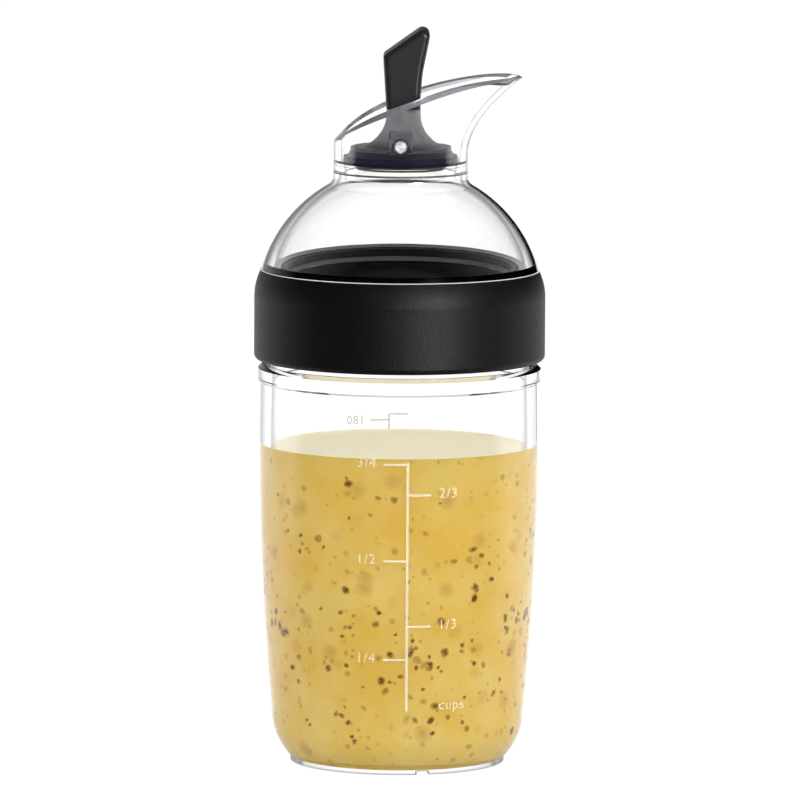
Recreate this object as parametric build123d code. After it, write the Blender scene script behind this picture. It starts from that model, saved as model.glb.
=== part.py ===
from build123d import *
from math import cos, radians, sin, sqrt
import os

# Salad dressing shaker: a clear cup with a wide screw lid. The lid is a grip collar, a clear dome and a
# clear flared spout. A stopper rocks on a steel pin in the spout, and tilting its lever back opens it.
# Millimetres. The origin is the centre of the base, +Z is up, and the spout pours towards +X.

# Cup, from the base up. The heel is the rounded lowest part of its wall.
foot_radius = 24.9
foot_width = 2.0
foot_height = 1.1
foot_recess = 1.0
notch_width = 3.0
notch_depth = 0.8
notch_count = 3
first_notch_angle = -76.0
floor_thickness = 2.0
heel_radius = 29.1
heel_height = 9.1
heel_bulge = 0.7
cup_wall = 2.0
shoulder_wall = 2.6
wall_bulge = 1.2
shoulder_radius = 32.3
bead_height = 88.7
bead_depth = 3.3
bead_stand = 0.6
bead_rounding = 0.5
shoulder_step = 0.9
land_gap = 0.4
land_height = 4.5
land_slope = 1.0
neck_inset = 3.4
neck_wall = 2.3
neck_height = 19.1
rim_rounding = 0.6

# Grip collar
lid_lift = 1.0
collar_wall = 2.3
collar_rounding = 1.3
collar_shoulder = 1.4
collar_shoulder_height = 5.5
collar_shoulder_bulge = 0.3

# Thread ring, held in the collar by a snap bead, and the two flat seals on its ledge
thread_depth = 1.0
thread_clearance = 0.3
press_gap = 0.1
ring_wall = 1.2
ring_end_gap = 0.6
snap_bead_stand = 0.3
snap_bead_depth = 1.6
snap_bead_height = 1.6
lid_seal_width = 2.6
lid_seal_thickness = 1.2
dome_seal_thickness = 0.5
web_wall = 0.7
web_depth = 6.2
ledge_width = 4.2
ledge_thickness = 1.4
upstand_wall = 1.3
upstand_height = 2.9
upstand_rounding = 0.4

# Dome
dome_fullness = 1.3
dome_wall = 2.4
dome_thinnest_angle = 48.0
skirt_depth = 4.4
skirt_wall = 1.1
skirt_flange_stand = 0.55
skirt_flange_depth = 1.3
dome_neck_radius = 15.6
dome_neck_wall = 1.2
dome_neck_height = 2.3
dome_neck_rounding = 2.5
dome_throat_rounding = 3.0

# Spout. Its wall flares towards the lip, and the beak is the part of the flare that narrows to it.
spout_seal_thickness = 0.4
spout_wall = 1.6
spigot_wall = 1.3
spigot_depth = 1.6
land_drop = 0.5
land_depth = 0.8
land_step = 0.15
spout_ring_height = 4.4
flare_height = 17.7
flare_reach = 12.9
flare_power = 1.8
beak_power = 7.0
rim_back_height = 5.8
rim_shoulder_height = 11.8
rim_shoulder_reach = 9.5
rim_middle_height = 16.4
rim_front_height = 21.2
rim_front_reach = 16.0
boss_width = 5.1
boss_below_pin = 1.9
boss_above_pin = 3.6
boss_depth = 2.4
boss_rounding = 0.8
boss_chamfer = 0.6

# Pivot pin, pressed in the spout's two bosses
pivot_height = 6.8
pin_radius = 1.5
pin_press_gap = 0.02
pin_running_gap = 0.05
pin_recess = 0.15
pin_chamfer = 0.3
pin_sink_radius = 2.1
pin_sink_depth = 0.5

# Stopper: flange, bell, post and pivot barrel, with the gasket and its retainer under the flange
flange_thickness = 0.75
flange_drop = 1.1
bell_inset_length = 2.3
bell_inset_width = 1.9
bell_power = 3.0
post_half_length = 3.95
post_half_width = 6.0
post_height = 7.9
post_offset = 0.6
barrel_radius = 2.1
barrel_end_gap = 1.2
gasket_gap = 0.2
gasket_height = 3.05
gasket_lip_height = 0.6
gasket_lip_chamfer = 0.2
gasket_lean = 1.3
hub_inset = 3.2
hub_gap = 0.1
retainer_inset = 1.1
retainer_thickness = 1.4
retainer_rounding = 0.5
stud_radius = 3.4
stud_height = 2.2
tang_length = 4.4
tang_width = 7.0
tang_height = 10.0

# Lever grip, moulded round the tang on top of the post
grip_half_width = 6.2
grip_back = 3.4
grip_back_lean = 0.8
grip_front = 4.4
grip_waist_front = 4.9
grip_waist_height = 8.0
grip_back_height = 12.3
grip_tip_front = 7.4
grip_tip_height = 20.6
grip_tip_rounding = 1.7
grip_back_rounding = 1.2
grip_waist_rounding = 25.0
grip_edge_rounding = 1.3

# Radii that follow from the sizes above, from the cup outwards
neck_radius = shoulder_radius - neck_inset
thread_bore = neck_radius + thread_depth + thread_clearance
ring_radius = thread_bore + ring_wall
collar_bore = ring_radius + press_gap
collar_radius = collar_bore + collar_wall
dome_seat_radius = collar_radius - collar_shoulder
dome_radius = dome_seat_radius + dome_fullness
skirt_radius = collar_bore - press_gap
skirt_bore = skirt_radius - skirt_wall
skirt_flange_radius = skirt_radius + skirt_flange_stand
web_radius = skirt_bore - press_gap
web_bore = web_radius - web_wall
ledge_bore = web_radius - ledge_width
upstand_radius = ledge_bore + upstand_wall
dome_bore = upstand_radius + thread_clearance

# Radii of the dome's neck, the spout and the stopper, from the neck inwards
dome_neck_bore = dome_neck_radius - dome_neck_wall
spigot_radius = dome_neck_bore - press_gap
spigot_bore = spigot_radius - spigot_wall
land_radius = spigot_bore + land_step
spout_bore = dome_neck_radius - spout_wall
pin_end = dome_neck_radius - pin_recess
gasket_radius = land_radius - gasket_gap
flange_radius = gasket_radius - gasket_lean
hub_radius = flange_radius - hub_inset
retainer_radius = flange_radius - retainer_inset
bell_half_length = flange_radius - bell_inset_length
bell_half_width = flange_radius - bell_inset_width
barrel_half_length = dome_neck_radius - boss_depth - barrel_end_gap

# Heights that follow from the sizes above
floor_top = foot_recess + floor_thickness
shoulder_bottom = bead_height + bead_depth
shoulder_top = shoulder_bottom + shoulder_step
land_top = shoulder_top + land_height
rim_top = shoulder_top + neck_height
collar_bottom = shoulder_top + lid_lift
ledge_bottom = rim_top + lid_seal_thickness
ledge_top = ledge_bottom + ledge_thickness
collar_top = ledge_top
skirt_bottom = collar_top - skirt_depth
ring_top = skirt_bottom - press_gap
ring_bottom = land_top + lid_lift + ring_end_gap
dome_centre = collar_top - sqrt(dome_radius**2 - dome_seat_radius**2)
dome_neck_bottom = dome_centre + sqrt(dome_radius**2 - dome_neck_radius**2)
dome_top = dome_neck_bottom + dome_neck_height
spout_base = dome_top + spout_seal_thickness
flare_base = spout_base + spout_ring_height
lip_height = flare_base + flare_height
pivot = spout_base + pivot_height
flange_top = pivot - flange_drop
flange_bottom = flange_top - flange_thickness
gasket_bottom = flange_bottom - gasket_height
land_bottom = gasket_bottom - land_drop
post_top = pivot + post_height


def outline(*corners):
    """A closed outline. Each corner is (across, up) or (across, up, rounding)."""
    roundings = [corner[2] if len(corner) > 2 else 0 for corner in corners]
    return FilletPolyline(*[corner[:2] for corner in corners], radius=roundings, close=True)


def turned(*corners):
    """A solid turned about the axis from corners of (radius, height) or (radius, height, rounding)."""
    return revolve(make_face(Plane.XZ * outline(*corners)), Axis.Z)


def turned_edges(edges):
    """A solid turned about the axis from edges that close on each other."""
    return revolve(make_face(Plane.XZ * Wire(edges)), Axis.Z)


def lines(*points):
    """The straight edges from each point to the next."""
    return [Edge.make_line(start, end) for start, end in zip(points, points[1:])]


def arc(start, middle, end):
    """The circular edge through three points."""
    return Edge.make_three_point_arc(start, middle, end)


def bulged(start, end, bulge):
    """The circular edge between two points whose middle stands out from the axis by the bulge."""
    return arc(start, ((start[0] + end[0]) / 2 + bulge, (start[1] + end[1]) / 2), end)


def across(radius, half_length, height):
    """A cylinder along Y through the axis at a height."""
    return Pos(0, 0, height) * Rot(90, 0, 0) * Cylinder(radius, 2 * half_length)


def container():
    """The cup: foot ring with drain notches, bulged wall, bead, the collar's land, and a plain neck."""
    foot_bore = foot_radius - foot_width
    bead_radius = shoulder_radius + bead_stand
    foot = (foot_radius, foot_height)
    heel = (heel_radius, heel_height)
    shoulder = (shoulder_radius, bead_height)
    neck_bore = neck_radius - neck_wall
    inner_foot = (foot_radius - cup_wall, floor_top)
    inner_heel = (heel_radius - cup_wall, heel_height)
    inner_shoulder = (shoulder_radius - shoulder_wall, bead_height)
    collar_land = collar_bore - land_gap
    cup = turned_edges(
        lines((0, foot_recess), (foot_bore, foot_recess), (foot_bore, 0), (foot_radius, 0), foot)
        + [bulged(foot, heel, heel_bulge), bulged(heel, shoulder, wall_bulge)]
        + lines(
            shoulder,
            (bead_radius, bead_height + bead_rounding),
            (bead_radius, shoulder_bottom),
            (bead_radius - shoulder_step, shoulder_top),
            (collar_land, shoulder_top),
            (collar_land, land_top - land_slope),
            (collar_land - land_slope, land_top),
            (neck_radius, land_top),
            (neck_radius, rim_top - rim_rounding),
            (neck_radius - rim_rounding, rim_top),
            (neck_bore, rim_top),
            (neck_bore, land_top),
            (shoulder_radius - shoulder_wall, shoulder_top + land_slope),
            inner_shoulder,
        )
        + [bulged(inner_shoulder, inner_heel, wall_bulge), bulged(inner_heel, inner_foot, heel_bulge)]
        + lines(inner_foot, (0, floor_top), (0, foot_recess))
    )
    notch = Pos(foot_radius - foot_width / 2, 0, 0) * Box(2 * foot_width, notch_width, 2 * notch_depth)
    for number in range(notch_count):
        cup -= Rot(0, 0, first_notch_angle + 360 * number / notch_count) * notch
    return cup


def collar():
    """The grip ring, rounded in to the dome's seat at its top, with grooves for the two snap fits."""
    turn = collar_rounding * sin(radians(45))
    side_top = (collar_radius, collar_top - collar_shoulder_height)
    corner_radius = collar_radius - collar_rounding
    corner_height = collar_bottom + collar_rounding
    groove = skirt_flange_radius + press_gap
    snap_groove = ring_radius + snap_bead_stand + press_gap
    snap_bottom = ring_bottom + snap_bead_height
    return turned_edges(
        lines((collar_bore, collar_bottom), (corner_radius, collar_bottom))
        + [
            arc(
                (corner_radius, collar_bottom),
                (corner_radius + turn, corner_height - turn),
                (collar_radius, corner_height),
            )
        ]
        + lines((collar_radius, corner_height), side_top)
        + [bulged(side_top, (dome_seat_radius, collar_top), collar_shoulder_bulge)]
        + lines(
            (dome_seat_radius, collar_top),
            (collar_bore, collar_top),
            (collar_bore, skirt_bottom + skirt_flange_depth + press_gap),
            (groove, skirt_bottom + skirt_flange_depth + press_gap),
            (groove, skirt_bottom - press_gap),
            (collar_bore, skirt_bottom - press_gap),
            (collar_bore, snap_bottom + snap_bead_depth + press_gap),
            (snap_groove, snap_bottom + snap_bead_depth + press_gap),
            (snap_groove, snap_bottom - press_gap),
            (collar_bore, snap_bottom - press_gap),
            (collar_bore, collar_bottom),
        )
    )


def thread_ring():
    """The ring that screws on the neck. Its ledge holds both seals, and its upstand shows in the dome."""
    snap_bottom = ring_bottom + snap_bead_height
    snap_radius = ring_radius + snap_bead_stand
    upstand_top = ledge_top + upstand_height
    web_bottom = ledge_bottom - web_depth
    return turned(
        (thread_bore, ring_bottom),
        (ring_radius, ring_bottom),
        (ring_radius, snap_bottom),
        (snap_radius, snap_bottom + snap_bead_stand),
        (snap_radius, snap_bottom + snap_bead_depth - snap_bead_stand),
        (ring_radius, snap_bottom + snap_bead_depth),
        (ring_radius, ring_top),
        (web_radius, ring_top),
        (web_radius, ledge_top),
        (upstand_radius, ledge_top),
        (upstand_radius, upstand_top, upstand_rounding),
        (ledge_bore, upstand_top, upstand_rounding),
        (ledge_bore, ledge_bottom),
        (web_bore, ledge_bottom),
        (web_bore, web_bottom),
        (thread_bore, web_bottom - (thread_bore - web_bore)),
    )


def lid_seal():
    """The flat ring between the cup's rim and the ledge."""
    outside = web_bore - press_gap
    inside = outside - lid_seal_width
    return turned((inside, rim_top), (outside, rim_top), (outside, ledge_bottom), (inside, ledge_bottom))


def dome_seal():
    """The flat ring between the ledge and the underside of the dome."""
    inside = upstand_radius + press_gap
    outside = web_radius - press_gap
    top = ledge_top + dome_seal_thickness
    return turned((inside, ledge_top), (outside, ledge_top), (outside, top), (inside, top))


def dome():
    """The clear dome: thick at its foot, thinnest near its neck, with a snap skirt inside the collar."""
    underside = ledge_top + dome_seal_thickness
    inner_radius = dome_radius - dome_wall
    inner_top = dome_centre + sqrt(inner_radius**2 - dome_neck_bore**2)
    thinnest = radians(dome_thinnest_angle)
    half_way = radians(45)
    shell = turned_edges(
        lines(
            (skirt_bore, skirt_bottom),
            (skirt_flange_radius, skirt_bottom),
            (skirt_flange_radius, skirt_bottom + skirt_flange_depth),
            (skirt_radius, skirt_bottom + skirt_flange_depth),
            (skirt_radius, collar_top),
            (dome_seat_radius, collar_top),
        )
        + [
            arc(
                (dome_seat_radius, collar_top),
                (dome_radius * cos(half_way), dome_centre + dome_radius * sin(half_way)),
                (dome_neck_radius, dome_neck_bottom),
            )
        ]
        + lines(
            (dome_neck_radius, dome_neck_bottom),
            (dome_neck_radius, dome_top),
            (dome_neck_bore, dome_top),
            (dome_neck_bore, inner_top),
        )
        + [
            arc(
                (dome_neck_bore, inner_top),
                (inner_radius * cos(thinnest), dome_centre + inner_radius * sin(thinnest)),
                (dome_bore, underside),
            )
        ]
        + lines((dome_bore, underside), (skirt_bore, underside), (skirt_bore, skirt_bottom))
    )
    rings = shell.edges().filter_by(GeomType.CIRCLE)
    shell = fillet(rings.sort_by_distance((dome_neck_radius, 0, dome_neck_bottom))[0], dome_neck_rounding)
    rings = shell.edges().filter_by(GeomType.CIRCLE)
    return fillet(rings.sort_by_distance((dome_neck_bore, 0, inner_top))[0], dome_throat_rounding)


def spout_seal():
    """The thin ring in the seam between the dome's neck and the spout."""
    return turned(
        (dome_neck_bore, dome_top),
        (dome_neck_radius, dome_top),
        (dome_neck_radius, spout_base),
        (dome_neck_bore, spout_base),
    )


def flare_section(radius, height):
    """A level slice of the flare: round at the back, drawn out to a beak at the front."""
    rise = max(height - flare_base, 0) / flare_height
    growth = flare_reach * rise**flare_power
    angles = [radians(angle) for angle in range(-90, 91, 15)]
    reaches = [radius + growth * max(cos(angle), 0) ** beak_power for angle in angles]
    points = [(reach * cos(angle), reach * sin(angle)) for reach, angle in zip(reaches, angles)]
    points[0], points[-1] = (0, -radius), (0, radius)
    front = Spline(*points, tangents=[(1, 0), (-1, 0)])
    back = ThreePointArc((0, radius), (-radius, 0), (0, -radius))
    return Pos(0, 0, height) * make_face([front, back])


def flare(radius, bottom):
    """The flare's solid shape for one wall radius, from a height to above the lip."""
    rises = (0, 0.23, 0.46, 0.64, 0.79, 0.91, 1.0, 1.08)
    heights = [bottom] + [flare_base + rise * flare_height for rise in rises]
    return loft([flare_section(radius, height) for height in heights])


def above_rim():
    """All that is cut away above the spout's slanting rim."""
    front = dome_neck_radius + flare_reach
    back = -dome_neck_radius - spout_wall
    rim = Spline(
        (back, spout_base + rim_back_height - spout_wall / 2),
        (-rim_shoulder_reach, spout_base + rim_shoulder_height),
        (0, spout_base + rim_middle_height),
        (rim_front_reach, spout_base + rim_front_height),
        (front, lip_height + land_step / 2),
    )
    far = front + flare_reach
    high = lip_height + flare_height
    closing = lines(rim @ 1, (far, (rim @ 1).Y), (far, high), (back, high), rim @ 0)
    area = make_face(Plane.XZ * Wire([rim] + closing))
    return extrude(area, 2 * dome_neck_radius, both=True)


def spout():
    """The clear spout: spigot, sealing land, flared wall with a slanting rim, and two pin bosses."""
    spigot = Pos(0, 0, spout_base) * Cylinder(spigot_radius, 2 * spigot_depth)
    spigot &= turned((0, 0), (spigot_radius, 0), (spigot_radius, land_bottom), (0, land_bottom))
    body = flare(dome_neck_radius, spout_base) + spigot
    relief = land_bottom + land_depth
    body -= turned(
        (0, spout_base - 2 * spigot_depth),
        (spigot_bore, spout_base - 2 * spigot_depth),
        (spigot_bore, land_bottom - land_step),
        (land_radius, land_bottom),
        (land_radius, relief),
        (land_radius + land_step, relief + land_step),
        (0, relief + land_step),
    )
    body -= flare(spout_bore, relief + land_step)
    body -= above_rim()
    boss_outside = dome_neck_radius - spout_wall / 2
    boss_middle = pivot + (boss_above_pin - boss_below_pin) / 2
    boss_face = RectangleRounded(boss_width, boss_above_pin + boss_below_pin, boss_rounding)
    boss = extrude(Plane.XZ * Pos(0, boss_middle) * boss_face, boss_depth - spout_wall / 2)
    boss = chamfer(boss.faces().sort_by(Axis.Y)[0].edges(), boss_chamfer)
    for turn in (0, 180):
        body += Rot(0, 0, turn) * Pos(0, boss_outside, 0) * boss
    body -= across(pin_radius + pin_press_gap, 2 * dome_neck_radius, pivot)
    sink = across(pin_sink_radius, dome_neck_radius, pivot)
    for side in (-1, 1):
        body -= Pos(0, side * (2 * dome_neck_radius - pin_sink_depth), 0) * sink
    return body


def pivot_pin():
    """The steel pin across the spout, with chamfered ends that show in the walls."""
    pin = across(pin_radius, pin_end, pivot)
    return chamfer(pin.edges().filter_by(GeomType.CIRCLE), pin_chamfer)


def stopper_body():
    """The grey moulding: hub, flange, bell and post, with a barrel that turns on the pin."""
    hub = turned((0, gasket_bottom), (hub_radius, gasket_bottom), (hub_radius, flange_top), (0, flange_top))
    flange = turned(
        (0, flange_bottom), (flange_radius, flange_bottom), (flange_radius, flange_top), (0, flange_top)
    )
    bell_bottom = flange_top - flange_thickness / 3
    slices = []
    for part in (0, 0.12, 0.26, 0.42, 0.62, 0.82, 1):
        spread = (1 - part) ** bell_power
        half_length = post_half_length + (bell_half_length - post_half_length) * spread
        half_width = post_half_width + (bell_half_width - post_half_width) * spread
        height = bell_bottom + (post_top - bell_bottom) * part
        slices.append(Pos(post_offset, 0, height) * Ellipse(half_length, half_width))
    bell = loft(slices)
    barrel = across(barrel_radius, barrel_half_length, pivot)
    barrel -= Pos(0, 0, flange_bottom - pivot) * Box(100, 100, 2 * pivot)
    tang = Pos(post_offset, 0, post_top) * Box(tang_length, tang_width, 2 * tang_height)
    tang &= Pos(post_offset, 0, post_top) * Box(100, 100, 2 * tang_height)
    body = hub + flange + bell + barrel + tang
    body -= across(pin_radius + pin_running_gap, 2 * barrel_half_length, pivot)
    socket = Pos(0, 0, gasket_bottom) * Cylinder(stud_radius + hub_gap, 2 * (stud_height + hub_gap))
    return body - socket


def stopper_gasket():
    """The soft ring under the flange, widest at the lip that seals on the spout's land."""
    lip_top = gasket_bottom + gasket_lip_height
    return turned(
        (hub_radius + hub_gap, gasket_bottom),
        (gasket_radius - gasket_lip_chamfer, gasket_bottom),
        (gasket_radius, gasket_bottom + gasket_lip_chamfer),
        (gasket_radius, lip_top),
        (flange_radius, flange_bottom),
        (hub_radius + hub_gap, flange_bottom),
    )


def gasket_retainer():
    """The disc that holds the gasket up, with a stud pressed in the hub."""
    bottom = gasket_bottom - retainer_thickness
    return turned(
        (0, bottom),
        (retainer_radius, bottom, retainer_rounding),
        (retainer_radius, gasket_bottom),
        (stud_radius, gasket_bottom),
        (stud_radius, gasket_bottom + stud_height),
        (0, gasket_bottom + stud_height),
    )


def lever_grip():
    """The black grip: a thumb lever with a slanting top that leans over the spout."""
    side = outline(
        (-grip_back, post_top),
        (grip_front, post_top),
        (grip_waist_front, post_top + grip_waist_height, grip_waist_rounding),
        (grip_tip_front, post_top + grip_tip_height, grip_tip_rounding),
        (-grip_back - grip_back_lean, post_top + grip_back_height, grip_back_rounding),
    )
    grip = extrude(make_face(Plane.XZ * side), grip_half_width, both=True)
    faces = grip.faces().sort_by(Axis.Y)
    edges = (faces[0].edges() + faces[-1].edges()).filter_by(
        lambda edge: edge.center().Z > post_top + grip_edge_rounding / 10
    )
    grip = fillet(edges, grip_edge_rounding)
    socket = Box(tang_length + 2 * hub_gap, tang_width + 2 * hub_gap, 2 * (tang_height + hub_gap))
    return grip - Pos(post_offset, 0, post_top) * socket


pieces = {
    "container": container,
    "lid_seal": lid_seal,
    "collar": collar,
    "thread_ring": thread_ring,
    "dome_seal": dome_seal,
    "dome": dome,
    "spout_seal": spout_seal,
    "spout": spout,
    "pivot_pin": pivot_pin,
    "stopper_body": stopper_body,
    "stopper_gasket": stopper_gasket,
    "gasket_retainer": gasket_retainer,
    "lever_grip": lever_grip,
}

os.makedirs("parts", exist_ok=True)
for name, make in pieces.items():
    export_step(make(), f"parts/{name}.step")
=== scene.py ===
import bpy
import random
from math import acos, atan2, cos, hypot, pi, radians, sin
from mathutils import Matrix, Vector
from mathutils.bvhtree import BVHTree


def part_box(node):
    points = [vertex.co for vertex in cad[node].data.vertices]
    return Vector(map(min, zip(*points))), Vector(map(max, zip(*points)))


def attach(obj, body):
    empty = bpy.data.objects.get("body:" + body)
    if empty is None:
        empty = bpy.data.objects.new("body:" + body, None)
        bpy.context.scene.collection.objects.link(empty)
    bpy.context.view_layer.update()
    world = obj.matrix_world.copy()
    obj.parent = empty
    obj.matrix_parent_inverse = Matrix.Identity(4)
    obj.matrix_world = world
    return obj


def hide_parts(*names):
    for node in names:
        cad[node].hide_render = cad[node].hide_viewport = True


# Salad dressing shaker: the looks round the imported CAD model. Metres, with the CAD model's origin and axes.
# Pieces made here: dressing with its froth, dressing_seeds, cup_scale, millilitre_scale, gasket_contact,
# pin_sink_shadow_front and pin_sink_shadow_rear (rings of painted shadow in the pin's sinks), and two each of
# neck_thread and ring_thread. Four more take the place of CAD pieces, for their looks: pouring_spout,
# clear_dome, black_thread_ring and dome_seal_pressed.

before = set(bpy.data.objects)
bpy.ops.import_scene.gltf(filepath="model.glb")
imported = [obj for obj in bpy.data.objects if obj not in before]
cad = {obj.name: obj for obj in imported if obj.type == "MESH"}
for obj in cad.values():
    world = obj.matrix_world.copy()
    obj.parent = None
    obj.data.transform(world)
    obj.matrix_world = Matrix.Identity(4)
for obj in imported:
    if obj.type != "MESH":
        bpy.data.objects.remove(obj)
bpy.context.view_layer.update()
mm = 0.001


# Materials

def linear(code):
    """An sRGB hex colour as the linear colour that a shader socket takes."""
    parts = [int(code[i : i + 2], 16) / 255 for i in (0, 2, 4)]
    return [c / 12.92 if c <= 0.04045 else ((c + 0.055) / 1.055) ** 2.4 for c in parts] + [1]


def node(tree, kind, inputs=(), **settings):
    """Adds a shader node. An input is a value or another node's output, and settings are its properties."""
    made = tree.nodes.new("ShaderNode" + kind)
    for name, value in settings.items():
        setattr(made, name, value)
    for socket, value in dict(inputs).items():
        if isinstance(value, bpy.types.NodeSocket):
            tree.links.new(value, made.inputs[socket])
        else:
            made.inputs[socket].default_value = value
    return made


def finish(name, colour, **constants):
    """A Principled material. Returns the material, its node tree, its shader and Object coordinates in mm."""
    material = bpy.data.materials.new(name)
    material.use_nodes = True
    tree = material.node_tree
    shader = tree.nodes["Principled BSDF"]
    shader.inputs["Base Color"].default_value = linear(colour)
    for socket, value in constants.items():
        shader.inputs[socket.replace("_", " ")].default_value = value
    place = node(tree, "TexCoord").outputs["Object"]
    scaled = node(tree, "VectorMath", {0: place, 1: (1 / mm, 1 / mm, 1 / mm)}, operation="MULTIPLY")
    return material, tree, shader, scaled.outputs[0]


def spread(tree, value, low, high, start=0.0, end=1.0):
    """A value between start and end, mapped to between low and high."""
    sockets = {"Value": value, "From Min": start, "From Max": end, "To Min": low, "To Max": high}
    return node(tree, "MapRange", sockets).outputs[0]


def worked(tree, operation, first, second):
    """The output of a Math node that works on two values."""
    return node(tree, "Math", {0: first, 1: second}, operation=operation).outputs[0]


def along(tree, way, direction):
    """How far a way runs along a direction: their dot product."""
    return node(tree, "VectorMath", {0: way, 1: direction}, operation="DOT_PRODUCT").outputs["Value"]


def blended(tree, share, first, second):
    """A colour between two, by a share from 0 to 1. Each is a hex code or an output."""
    first, second = (linear(tint) if isinstance(tint, str) else tint for tint in (first, second))
    made = node(tree, "Mix", {0: share, 6: first, 7: second}, data_type="RGBA")
    return made.outputs[2]


def grain(tree, place, size, detail=2.0, roughness=0.5):
    """Noise whose lumps are about size millimetres wide, from 0 to 1."""
    sockets = {"Vector": place, "Scale": 1 / size, "Detail": detail, "Roughness": roughness}
    return node(tree, "TexNoise", sockets).outputs["Fac"]


def emboss(tree, shader, height, depth):
    """A bump on the shader, whose height from 0 to 1 stands for depth millimetres."""
    made = node(tree, "Bump", {"Height": height, "Distance": depth * mm, "Strength": 1.0})
    tree.links.new(made.outputs[0], shader.inputs["Normal"])


def clear_plastic():
    """Injection-moulded SAN, as clear as glass. Where the look leaves the plastic at a slant, along the inner
    edges of its walls, a dark line of painted shade is drawn into its colour. A polished mould leaves it
    almost without texture."""
    material, tree, shader, place = finish(
        "moulded_clear_san", "FFFFFF", IOR=1.57, Transmission_Weight=1.0, Specular_IOR_Level=0.5
    )
    slant = node(tree, "LayerWeight", {"Blend": 0.5}).outputs["Facing"]
    leaving = node(tree, "NewGeometry").outputs["Backfacing"]
    # Light stops leaving this plastic at a slant of about 0.23, and the line is drawn on both sides of that.
    near = spread(tree, slant, 0, 1, 0.198, 0.222)
    past = spread(tree, slant, 1, 0, 0.233, 0.242)
    line = worked(tree, "MULTIPLY", worked(tree, "MULTIPLY", near, past), leaving)
    # The line is painted shade: the colour turns dark grey there.
    tree.links.new(blended(tree, line, "FFFFFF", "22262C"), shader.inputs["Base Color"])
    haze = grain(tree, place, 9.0)
    tree.links.new(spread(tree, haze, 0.0, 0.035, 0.35, 0.8), shader.inputs["Roughness"])
    emboss(tree, shader, grain(tree, place, 14.0, 1.0), 0.02)
    return material


def painted_highlight_edge():
    """The lowest edge of the dome, painted near white as a highlight where it catches the light: it shows as
    a white line.
    """
    material, tree, shader, place = finish("clear_edge_painted_highlight", "F2F2F5", IOR=1.57)
    tree.links.new(blended(tree, grain(tree, place, 1.5), "E9E9EE", "FAFAFC"), shader.inputs["Base Color"])
    tree.links.new(spread(tree, grain(tree, place, 0.8), 0.4, 0.6), shader.inputs["Roughness"])
    return material


def clear_rim():
    """The rounded edge of the clear moulding, where light is caught along the wall: that caught light is
    painted into its colour as a smoky grey line.
    """
    material, tree, shader, place = finish(
        "rounded_clear_edge", "8E9196", IOR=1.57, Transmission_Weight=0.3, Specular_IOR_Level=0.3
    )
    # Painted light: the grey stands for the light caught in the rounded edge.
    painted_rim_grey = blended(tree, grain(tree, place, 3.0), "6C7076", "82868C")
    leaving = node(tree, "NewGeometry").outputs["Backfacing"]
    tree.links.new(blended(tree, leaving, painted_rim_grey, "FFFFFF"), shader.inputs["Base Color"])
    tree.links.new(spread(tree, grain(tree, place, 6.0), 0.05, 0.14), shader.inputs["Roughness"])
    return material


def textured_black():
    """Polypropylene moulded in a spark-eroded tool: black, with a fine even grain that spreads the light.
    The real grain is about 0.15 mm and too fine to show, so it is drawn 0.45 mm wide."""
    material, tree, shader, place = finish(
        "spark_eroded_black_pp", "0C0B0C", IOR=1.49, Specular_IOR_Level=0.25
    )
    fine = grain(tree, place, 0.45, 3.0, 0.6)
    tree.links.new(spread(tree, fine, 0.44, 0.56, 0.3, 0.7), shader.inputs["Roughness"])
    tree.links.new(blended(tree, grain(tree, place, 6.0), "060506", "0A090A"), shader.inputs["Base Color"])
    emboss(tree, shader, fine, 0.05)
    return material


def matt_black():
    """Black polypropylene from a plain mould: matt, with a cold blue tinge where the daylight falls in."""
    material, tree, shader, place = finish("moulded_black_pp", "0D1018", IOR=1.49, Specular_IOR_Level=0.2)
    tree.links.new(blended(tree, grain(tree, place, 5.0), "0B0D14", "131723"), shader.inputs["Base Color"])
    tree.links.new(spread(tree, grain(tree, place, 0.6, 3.0), 0.5, 0.64), shader.inputs["Roughness"])
    emboss(tree, shader, grain(tree, place, 0.5, 2.0), 0.02)
    return material


def glossy_black():
    """Black ABS from a polished mould: deep black with clear, slightly uneven highlights."""
    material, tree, shader, place = finish("polished_black_abs", "1B1B1C", IOR=1.54, Specular_IOR_Level=0.35)
    tree.links.new(blended(tree, grain(tree, place, 4.0), "1B1B1C", "242425"), shader.inputs["Base Color"])
    tree.links.new(spread(tree, grain(tree, place, 1.5, 3.0), 0.26, 0.4), shader.inputs["Roughness"])
    emboss(tree, shader, grain(tree, place, 2.5), 0.015)
    return material


def grey_moulding():
    """Grey ABS from a matt mould: a mid grey, a little streaked where the melt flowed up the post, and darker
    low down, on the flange."""
    material, tree, shader, place = finish("moulded_grey_abs", "7C7D7F", IOR=1.54)
    flow = node(tree, "Mapping", {"Vector": place, "Scale": (1, 1, 0.3)})
    streak = grain(tree, flow.outputs[0], 2.2, 4.0)
    tone = blended(tree, spread(tree, streak, 0, 1, 0.3, 0.7), "737476", "86878A")
    height = node(tree, "SeparateXYZ", {0: place}).outputs["Z"]
    # The colour is darker below a height of about 144 mm, on the flange.
    darker_low = spread(tree, height, 1, 0, 143.9, 145.6)
    tree.links.new(blended(tree, darker_low, tone, "4B4F50"), shader.inputs["Base Color"])
    tree.links.new(spread(tree, grain(tree, place, 0.7), 0.36, 0.5), shader.inputs["Roughness"])
    emboss(tree, shader, grain(tree, place, 0.5, 3.0), 0.02)
    return material


def silicone(name, low, high, glow):
    """Moulded silicone: soft sheen and a slight bloom of dust and oil, with some light inside it."""
    material, tree, shader, place = finish(
        name, low, IOR=1.41, Subsurface_Weight=glow, Subsurface_Scale=0.002, Sheen_Weight=0.15
    )
    tree.links.new(blended(tree, grain(tree, place, 1.6, 3.0), low, high), shader.inputs["Base Color"])
    tree.links.new(spread(tree, grain(tree, place, 0.8), 0.38, 0.58), shader.inputs["Roughness"])
    emboss(tree, shader, grain(tree, place, 0.6), 0.02)
    return material


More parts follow.
